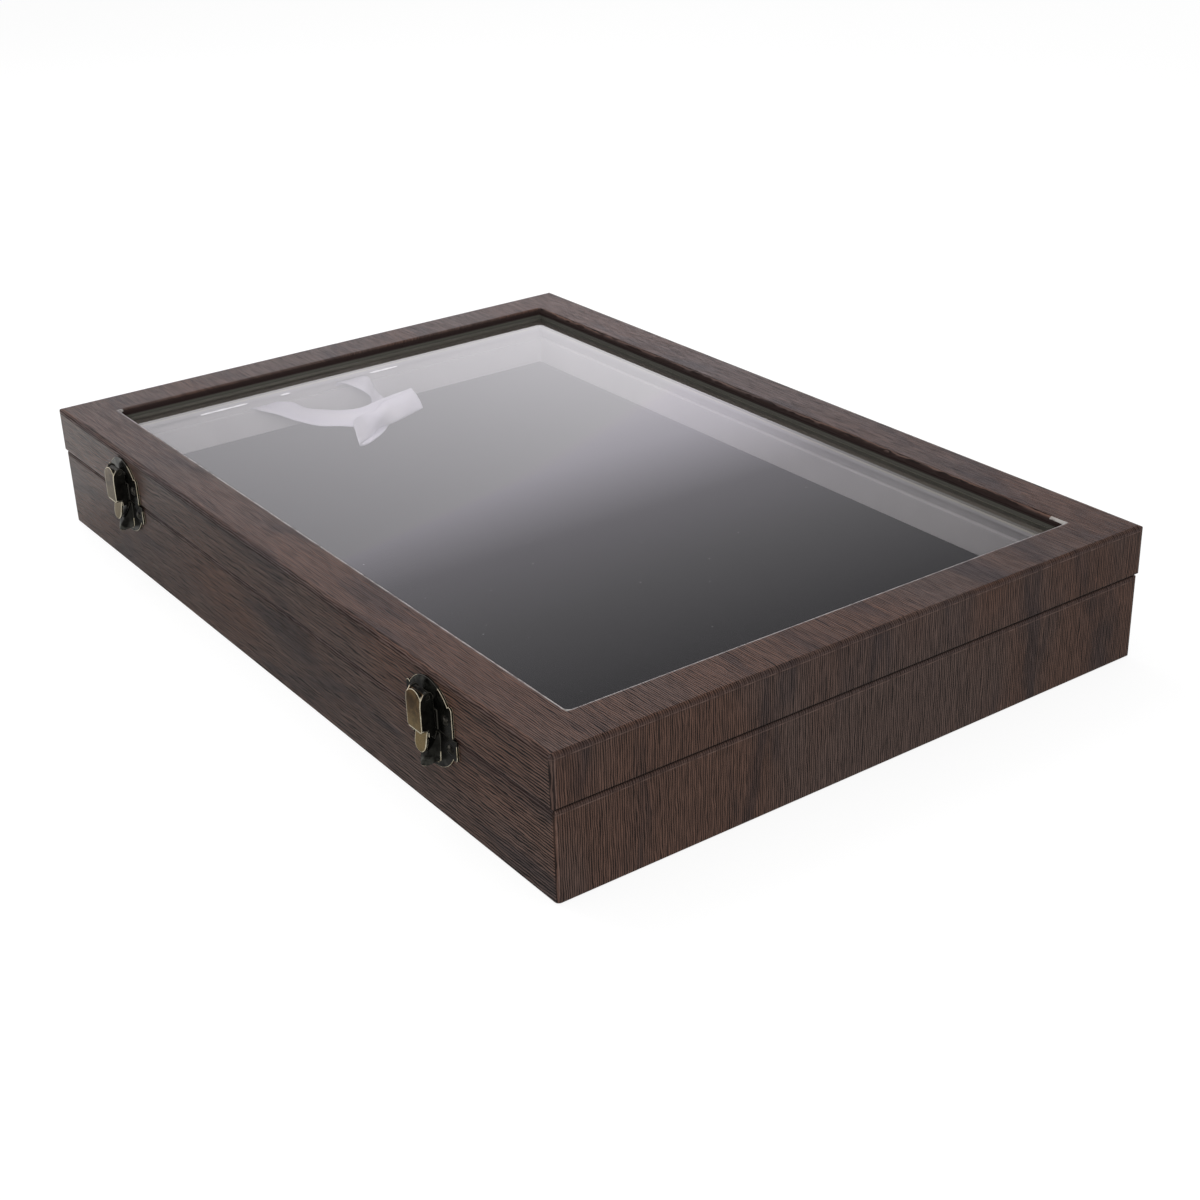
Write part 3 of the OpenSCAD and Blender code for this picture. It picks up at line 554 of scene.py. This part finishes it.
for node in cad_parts:
    if node.endswith("_wrap"):
        dress(node, "leatherette")
    elif node.endswith("_nails") or node.endswith("_latch_pin"):
        dress(node, "nailBrass")
    elif node.startswith(("liner_", "retainer_", "lid_")):
        dress(node, "liningPaper")
    elif node == "floor_board" or node.endswith("_rail"):
        dress(node, "fibreboard")
    elif "hinge" in node or node.endswith("_pin"):
        dress(node, "agedBrass")
dress("pad_board", "greyCard")
dress("bottom_sheet", "blackFelt")
dress("glass_pane", "clearPane")
print("carried-over nodes dressed")


def makePiece(name, points, faces, *finishNames):
    mesh = bpy.data.meshes.new(name)
    mesh.from_pydata(points.tolist(), [], faces.tolist())
    mesh.validate()
    for finish in finishNames:
        mesh.materials.append(made[finish])
    piece = bpy.data.objects.new(name, mesh)
    bpy.context.scene.collection.objects.link(piece)
    return piece


def smooth(piece):
    piece.data.polygons.foreach_set("use_smooth", np.ones(len(piece.data.polygons), bool))
    piece.data.update()


@contextmanager
def reshaped(piece):                                  # opens a piece's mesh, and smooths what comes back
    shape = bmesh.new()
    shape.from_mesh(piece.data)
    yield shape
    shape.to_mesh(piece.data)
    shape.free()
    smooth(piece)


def gridFaces(rows, columns):
    # quads between neighbouring points of a grid that is stored row by row
    corner = (np.arange(rows - 1)[:, None] * columns + np.arange(columns - 1)[None, :]).ravel()
    return np.stack([corner, corner + 1, corner + columns + 1, corner + columns], axis=1)


def ringFaces(rings, count, first=0):
    # quads between neighbouring closed rings, each of as many points
    step = np.arange(count)
    after = (step + 1) % count
    start = (np.arange(rings - 1) * count)[:, None] + first
    ahead = start + count
    return np.stack([start + step, ahead + step, ahead + after, start + after], axis=2).reshape(-1, 4)


# The bright edges of the latches: each stamped part is copied, its edges are eased, and the eased faces take
# the worn finish with its painted highlight.
stamped = {"ease": 0.00013, "steps": 2, "angle": 32.0, "weld": 0.00002, "flat": 0.6}


def easedCopy(node, name, body, finish):
    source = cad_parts[node].data
    points = np.empty(len(source.vertices) * 3)
    source.vertices.foreach_get("co", points)
    source.calc_loop_triangles()
    corners = np.empty(len(source.loop_triangles) * 3, int)
    source.loop_triangles.foreach_get("vertices", corners)
    piece = makePiece(name, points.reshape(-1, 3), corners.reshape(-1, 3), finish, "wornGlintEdge")
    with reshaped(piece) as shape:
        bmesh.ops.remove_doubles(shape, verts=shape.verts, dist=stamped["weld"])
        bmesh.ops.dissolve_degenerate(shape, edges=shape.edges, dist=stamped["weld"])
        bmesh.ops.recalc_face_normals(shape, faces=shape.faces)
        flat = math.radians(stamped["flat"])
        bmesh.ops.dissolve_limit(shape, angle_limit=flat, verts=shape.verts, edges=shape.edges)
    ease = piece.modifiers.new("ease", "BEVEL")
    ease.width = stamped["ease"]
    ease.segments = stamped["steps"]
    ease.limit_method = "ANGLE"
    ease.angle_limit = math.radians(stamped["angle"])
    ease.material = 1
    ease.use_clamp_overlap = False
    ease.harden_normals = False
    weigh = piece.modifiers.new("weigh", "WEIGHTED_NORMAL")
    weigh.keep_sharp = False
    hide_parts(node)
    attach(piece, body)


for side in ("left", "right"):
    easedCopy(side + "_latch_lid_plate", side + "LidPlate", "lid", "agedBronze")
    easedCopy(side + "_latch_base_plate", side + "BasePlate", "base", "agedBronze")
    easedCopy(side + "_latch_lever", side + "Lever", side + "_lever", "agedBronze")
    easedCopy(side + "_hinge_base_leaf", side + "HingeBaseLeaf", "base", "agedBrass")
    easedCopy(side + "_hinge_lid_leaf", side + "HingeLidLeaf", "lid", "agedBrass")
print("latches and hinges eased")


# The pad: a closed block with a soft top edge and a slightly uneven nap
pad = {
    "waviness": 0.00012, "edge": 0.0021, "middle": 0.004, "perSide": 90,
    "topRings": 40, "edgeRings": 9, "sideRings": (0.4, 0.75, 1.0),
}


def velvetPad():
    # Rings of one rounded outline, from the middle of the top out to the rim, round the edge in a
    # quarter circle and down the side. Each is the pad's rectangle, set in by its own amount.
    low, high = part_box("pad_cover")
    halfX, halfY = (high.x - low.x) / 2, (high.y - low.y) / 2
    edge = pad["edge"]
    angle = np.linspace(0, math.pi / 2, pad["edgeRings"])
    side = np.array(pad["sideRings"])
    over = np.linspace(min(halfX, halfY) - pad["middle"], edge, pad["topRings"])
    inset = np.concatenate([over, edge * (1 - np.sin(angle)), np.zeros(len(side))])
    drop = np.concatenate([np.zeros(len(over)), edge * (1 - np.cos(angle)), side * (high.z - low.z)])
    run = np.linspace(0, 1, pad["perSide"], endpoint=False)
    one = np.ones(pad["perSide"])
    squareX = np.concatenate([2 * run - 1, one, 1 - 2 * run, -one])
    squareY = np.concatenate([-one, 2 * run - 1, one, 1 - 2 * run])
    x = squareX[None, :] * (halfX - inset[:, None])
    y = squareY[None, :] * (halfY - inset[:, None])
    # the nap's ripple is a sum of products of sines, and dies away towards the rim
    fall = 1 - np.clip(np.maximum(np.abs(x) / halfX, np.abs(y) / halfY), 0, 1) ** 4
    ripple = np.sin(x * 61 + 1.3) * np.sin(y * 47 + 0.4) + 0.6 * np.sin(x * 133 + y * 71) * np.sin(y * 109)
    z = high.z - drop[:, None] + fall * pad["waviness"] * (ripple * 0.5 - 1)
    points = np.stack([x, y, z], axis=2).reshape(-1, 3)
    rings, count = x.shape
    piece = makePiece("velvetPad", points, ringFaces(rings, count), "blackVelvet")
    with reshaped(piece) as shape:
        shape.verts.ensure_lookup_table()
        shape.faces.new([shape.verts[i] for i in range(count)])
        shape.faces.new([shape.verts[(rings - 1) * count + i] for i in reversed(range(count))])
        bmesh.ops.recalc_face_normals(shape, faces=shape.faces)
    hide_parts("pad_cover", "pad_foam")
    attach(piece, "base")


velvetPad()
print("pad made")


# Glowing beads along the left strip's lower edge, a painted highlight, each with its two ends along Y
beads = {
    "spans": [(-0.0680, -0.0460), (-0.0310, -0.0265), (0.0120, 0.0260)],
    "radius": 0.00036, "swell": 0.16, "sunk": 0.0002, "points": 40, "around": 14,
}


def glintBeads():
    # Slim spindles: the radius falls to nothing at both ends as a superellipse, and swells a
    # little between them with a sine.
    low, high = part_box("retainer_left")
    rings, count = beads["points"], beads["around"]
    along = np.linspace(0, 1, rings)[:, None]
    turn = np.linspace(0, math.tau, count, endpoint=False)[None, :]
    taper = beads["radius"] * (1 - np.abs(2 * along - 1) ** 6) ** 0.5
    points, faces = [], []
    for index, (start, end) in enumerate(beads["spans"]):
        radius = taper * (1 + beads["swell"] * np.sin(along * 17 + index * 2.1))
        x = high.x - beads["sunk"] + radius * np.cos(turn)
        y = start + (end - start) * along + 0 * turn
        z = low.z - beads["sunk"] + radius * np.sin(turn)
        points.append(np.stack([x, y, z], axis=2).reshape(-1, 3))
        faces.append(ringFaces(rings, count, index * rings * count))
    piece = makePiece("glintBeads", np.vstack(points), np.vstack(faces), "glowingGlint")
    with reshaped(piece) as shape:
        bmesh.ops.remove_doubles(shape, verts=shape.verts, dist=0.000005)
        bmesh.ops.recalc_face_normals(shape, faces=shape.faces)
    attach(piece, "lid")


glintBeads()
print("glue beads made")


# The ribbon lid stay. Each stop is the ribbon's centre in millimetres and the direction of its
# width. X counts from the left lining's inner face, and Z from the level that "levels" gives.
# A curl is its place along the ribbon, its reach and its angle in degrees.
ribbon = {
    "width": 0.012, "thickness": 0.0003, "stepsEach": 12, "acrossPoints": 13, "window": 0.156,
    "bow": 8.0, "curls": [(0.1025, 0.0075, 165.0), (0.084, 0.007, 60.0)], "ends": 0.004,
    "levels": {"atNeck": 0.035, "onPad": 0.025, "atLid": 0.039},
    "atNeck": [[(-2.2, -38.5, -3.4), (0, 1, 0)], [(-2.2, -38.5, -0.1), (0, 1, 0)],
               [(-1.1, -38.2, 0.7), (-0.05, 1, 0)], [(1.5, -36.4, 0.5), (-0.2, 0.95, 0.04)]],
    "onPad": [[(4, -31.8, 9.2), (-0.4, 0.88, 0.1)], [(6.6, -26, 5.9), (-0.66, 0.74, 0.12)],
              [(10.8, -19, 3.8), (-0.76, 0.6, 0.24)], [(15.4, -11.4, 3.1), (-0.76, 0.6, 0.24)],
              [(20, -4.5, 3.2), (-0.8, 0.45, 0.36)], [(21.6, 4, 4), (-0.84, 0.2, 0.5)],
              [(20.2, 13.5, 4.3), (-0.84, 0.05, 0.54)], [(18.6, 22.4, 4.4), (-0.85, 0.05, 0.52)],
              [(19.4, 23, 5.2), (-0.85, 0.05, 0.52)], [(22.8, 13, 4.9), (-0.84, 0.05, 0.54)],
              [(26.6, 3, 4.9), (-0.84, 0.05, 0.54)], [(32.4, -7.2, 5), (-0.8, 0.12, 0.6)],
              [(37.9, -16.2, 5.1), (-0.75, 0.18, 0.62)], [(38.3, -16.4, 3.9), (-0.76, 0.18, 0.56)],
              [(34.4, -11, 1.5), (-0.88, -0.28, 0.14)], [(28.6, -4.2, 0.5), (-0.8, -0.6, 0)],
              [(19, 3.4, 0.4), (-0.55, -0.83, 0)], [(11.6, 8.4, 0.7), (-0.1, -1, 0)],
              [(6.6, 10.6, 2.4), (0.5, -0.85, 0)], [(5.4, 9.8, 6.2), (0.8, -0.6, 0)],
              [(4.6, 8.2, 9.4), (0.72, -0.7, 0)]],
    "atLid": [[(2.4, 5.6, -2), (0.4, -0.9, 0)], [(-1.1, 3, -1.3), (0.05, -1, 0)],
              [(-2.6, 2.2, -3.2), (0, -1, 0)]],
}


def splined(stops, steps):
    # A Catmull-Rom curve through the stops: each span is a cubic of its two ends and their neighbours
    padded = np.vstack([stops[:1], stops, stops[-1:]])
    a, b, c, d = padded[:-3, None], padded[1:-2, None], padded[2:-1, None], padded[3:, None]
    t = (np.arange(steps) / steps)[None, :, None]
    square, cube = 2 * a - 5 * b + 4 * c - d, 3 * b - a - 3 * c + d
    spans = 0.5 * (2 * b + (c - a) * t + square * t ** 2 + cube * t ** 3)
    return np.vstack([spans.reshape(-1, 3), stops[-1:]])


def unitRows(vectors):
    return vectors / np.linalg.norm(vectors, axis=1)[:, None]


def ribbonRoute():
    # the ribbon's centre line and the direction of its width, at each step along it
    places, sides = [], []
    for part, level in ribbon["levels"].items():
        for (x, y, z), side in ribbon[part]:
            places.append((x / 1000 - ribbon["window"], y / 1000, z / 1000 + level))
            sides.append(side)
    middle = splined(np.array(places, float), ribbon["stepsEach"])
    return middle, unitRows(splined(np.array(sides, float), ribbon["stepsEach"]))


def stayRibbon():
    middle, side = ribbonRoute()
    face = unitRows(np.cross(np.gradient(middle, axis=0), side))
    run = np.concatenate([[0.0], np.cumsum(np.linalg.norm(np.diff(middle, axis=0), axis=1))])
    across = np.linspace(-0.5, 0.5, ribbon["acrossPoints"]) * ribbon["width"]
    # Flat first: X across and Y along; the cloth map takes these, so that the weave follows the way along
    # the ribbon and not its folds.
    flat = np.stack(np.broadcast_arrays(across[None, :], run[:, None], 0.0), axis=2).reshape(-1, 3)
    piece = makePiece("stayRibbon", flat, gridFaces(len(run), len(across)), "satinRibbon")
    layer = piece.data.uv_layers.new(name="cloth")
    corners = np.empty(len(piece.data.loops), int)
    piece.data.loops.foreach_get("vertex_index", corners)
    layer.data.foreach_set("uv", flat[corners, :2].ravel())
    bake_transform(piece)
    # Across its width the ribbon is an arc. Its angle is a slight one everywhere, and it rises in a
    # bell curve along the run where the ribbon is gathered.
    bow = ribbon["bow"] + sum(most * np.exp(-((run - at) / wide) ** 2) for at, wide, most in ribbon["curls"])
    radius = (ribbon["width"] / np.radians(bow))[:, None]
    lean = across[None, :] / radius
    sink = radius * (1 - np.cos(lean))
    sink -= sink.mean(axis=1)[:, None]
    sideways = side[:, None] * (radius * np.sin(lean))[:, :, None]
    curved = middle[:, None] + sideways + face[:, None] * sink[:, :, None]
    piece.data.vertices.foreach_set("co", curved.ravel())
    smooth(piece)
    cloth = piece.modifiers.new("cloth", "SOLIDIFY")
    cloth.thickness = ribbon["thickness"]
    cloth.offset = 0.0
    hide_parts("stay_ribbon")


stayRibbon()

# Camera at the photograph's place
camera = {
    "place": (0.54949, -0.36383, 0.31316),
    "right": (0.58460, 0.81078, -0.02973),
    "forward": (-0.73652, 0.51498, -0.43856),
    "lens": 57.80,
    "sensor": 36.0,
    "nearest": 0.01,
}


def studioCamera():
    data = bpy.data.cameras.new("camera")
    data.lens = camera["lens"]
    data.sensor_width = camera["sensor"]
    data.clip_start = camera["nearest"]
    eye = bpy.data.objects.new("camera", data)
    right, back = Vector(camera["right"]).normalized(), -Vector(camera["forward"]).normalized()
    up = back.cross(right).normalized()
    turn = Matrix((right, up, back)).transposed().to_4x4()
    eye.matrix_world = Matrix.Translation(camera["place"]) @ turn
    bpy.context.scene.collection.objects.link(eye)
    bpy.context.scene.camera = eye


studioCamera()

# Room: a pale floor, a white surround and two soft lamps. The walls' stops go from low to steep
# ways in the gloss, and the floor's run along X, from half a metre left of the case.
room = {
    "surround": 0.60,
    "floorGlow": 0.82,
    "floorBounce": 0.30,
    "floorColour": (0.24, 0.24, 0.24),
    "floorHalf": 6.0,
    "floorStart": 0.5,
    "cast": (1.005, 0.982, 1.030),
    "slant": (1.2, 2.7),
    "ceiling": {"From Min": 1.0, "From Max": 1.8, "To Min": 0.60, "To Max": 1.0},
    "walls": [(0.0, 0.06), (0.2, 0.14), (0.32, 0.24), (0.44, (0.353, 0.348, 0.360)),
              (0.567, (0.75, 0.737, 0.775)), (0.693, (0.985, 0.965, 1.0)), (0.933, (1.0, 0.978, 1.0))],
    "floorWalls": [(0.22, 0.82), (0.30, 0.60), (0.34, 0.32), (0.40, 0.22), (0.75, 0.16), (0.95, 0.5)],
    "lamps": [
        {"name": "leftHigh", "at": (-0.62, -0.10, 0.75), "aim": (0, 0, 0), "size": 0.9, "power": 3.8},
        {"name": "frontRight", "at": (1.4, -0.7, 0.9), "aim": (0, 0, 0.02), "size": 1.2, "power": 13.0},
    ],
}


def surround():
    world = bpy.data.worlds.new("surround")
    bpy.context.scene.world = world
    s = Shading(world)
    path = s.node("ShaderNodeLightPath")
    x, y, z = s.axes(s.node("ShaderNodeTexCoord").out("Generated"))
    # the two long walls are bright near the floor and fade towards the ceiling
    height = s.maths("MAXIMUM", abs(z), 0.02)
    low, high = room["slant"]
    slant = s.node("ShaderNodeMapRange", None, {"Value": abs(x) / height, "From Min": low, "From Max": high})
    ceiling = s.node("ShaderNodeMapRange", None, {"Value": abs(y) / height, **room["ceiling"]})
    glow = s.tint(1.0, s.ramp(slant, *room["walls"]), ceiling, "DARKEN")
    glow = s.tint(1.0, glow, room["cast"], "MULTIPLY")
    mirrorLight = s.node("ShaderNodeBackground", None, {"Color": glow, "Strength": 1.0})
    softLight = s.node("ShaderNodeBackground", None, {"Color": (1, 1, 1, 1), "Strength": room["surround"]})
    white = s.node("ShaderNodeBackground", None, {"Color": (1, 1, 1, 1), "Strength": 1.0})
    seen = s.node("ShaderNodeMixShader", None, {0: path.out("Is Glossy Ray"), 1: softLight, 2: mirrorLight})
    seen = s.node("ShaderNodeMixShader", None, {0: path.out("Is Transmission Ray"), 1: seen, 2: white})
    seen = s.node("ShaderNodeMixShader", None, {0: path.out("Is Camera Ray"), 1: seen, 2: white})
    s.finish(seen, "ShaderNodeOutputWorld")


def floorLook(s):
    path = s.node("ShaderNodeLightPath")
    seen = s.maths("MAXIMUM", path.out("Is Camera Ray"), path.out("Is Transmission Ray"))
    glow = s.node("ShaderNodeEmission", None, {"Color": (1, 1, 1, 1), "Strength": seen * room["floorGlow"]})
    card = s.node("ShaderNodeBsdfDiffuse", None, {"Color": (*room["floorColour"], 1)})
    bounce = s.node("ShaderNodeEmission", None, {
        "Color": (1, 1, 1, 1), "Strength": path.out("Is Diffuse Ray") * room["floorBounce"]})
    shown = s.node("ShaderNodeAddShader", None, {0: glow, 1: card})
    shown = s.node("ShaderNodeAddShader", None, {0: shown, 1: bounce})
    # in gloss the floor is dark by the case, a painted shadow of the case, and as bright as the walls to its
    # left
    far = s.ramp(s.axes(s.place())[0] + room["floorStart"], *room["floorWalls"])
    mirrored = s.node("ShaderNodeEmission", None, {"Color": far, "Strength": 1.0})
    s.finish(s.node("ShaderNodeMixShader", None, {0: path.out("Is Glossy Ray"), 1: shown, 2: mirrored}))


def studioFloor():
    half = room["floorHalf"]
    made["paleFloor"] = newMaterial("paleFloor", floorLook)
    corners = np.array([(-half, -half, 0), (half, -half, 0), (half, half, 0), (-half, half, 0)], float)
    makePiece("floor", corners, np.array([[0, 1, 2, 3]]), "paleFloor")


def lamps():
    for lamp in room["lamps"]:
        data = bpy.data.lights.new(lamp["name"], "AREA")
        data.shape = "DISK"
        data.size = lamp["size"]
        data.energy = lamp["power"]
        thing = bpy.data.objects.new(lamp["name"], data)
        turn = (Vector(lamp["aim"]) - Vector(lamp["at"])).to_track_quat("-Z", "Y")
        thing.matrix_world = Matrix.Translation(lamp["at"]) @ turn.to_matrix().to_4x4()
        thing.visible_camera = False
        thing.visible_glossy = False
        bpy.context.scene.collection.objects.link(thing)


surround()
studioFloor()
lamps()
bpy.context.scene.view_settings.view_transform = "Standard"
print("room made")
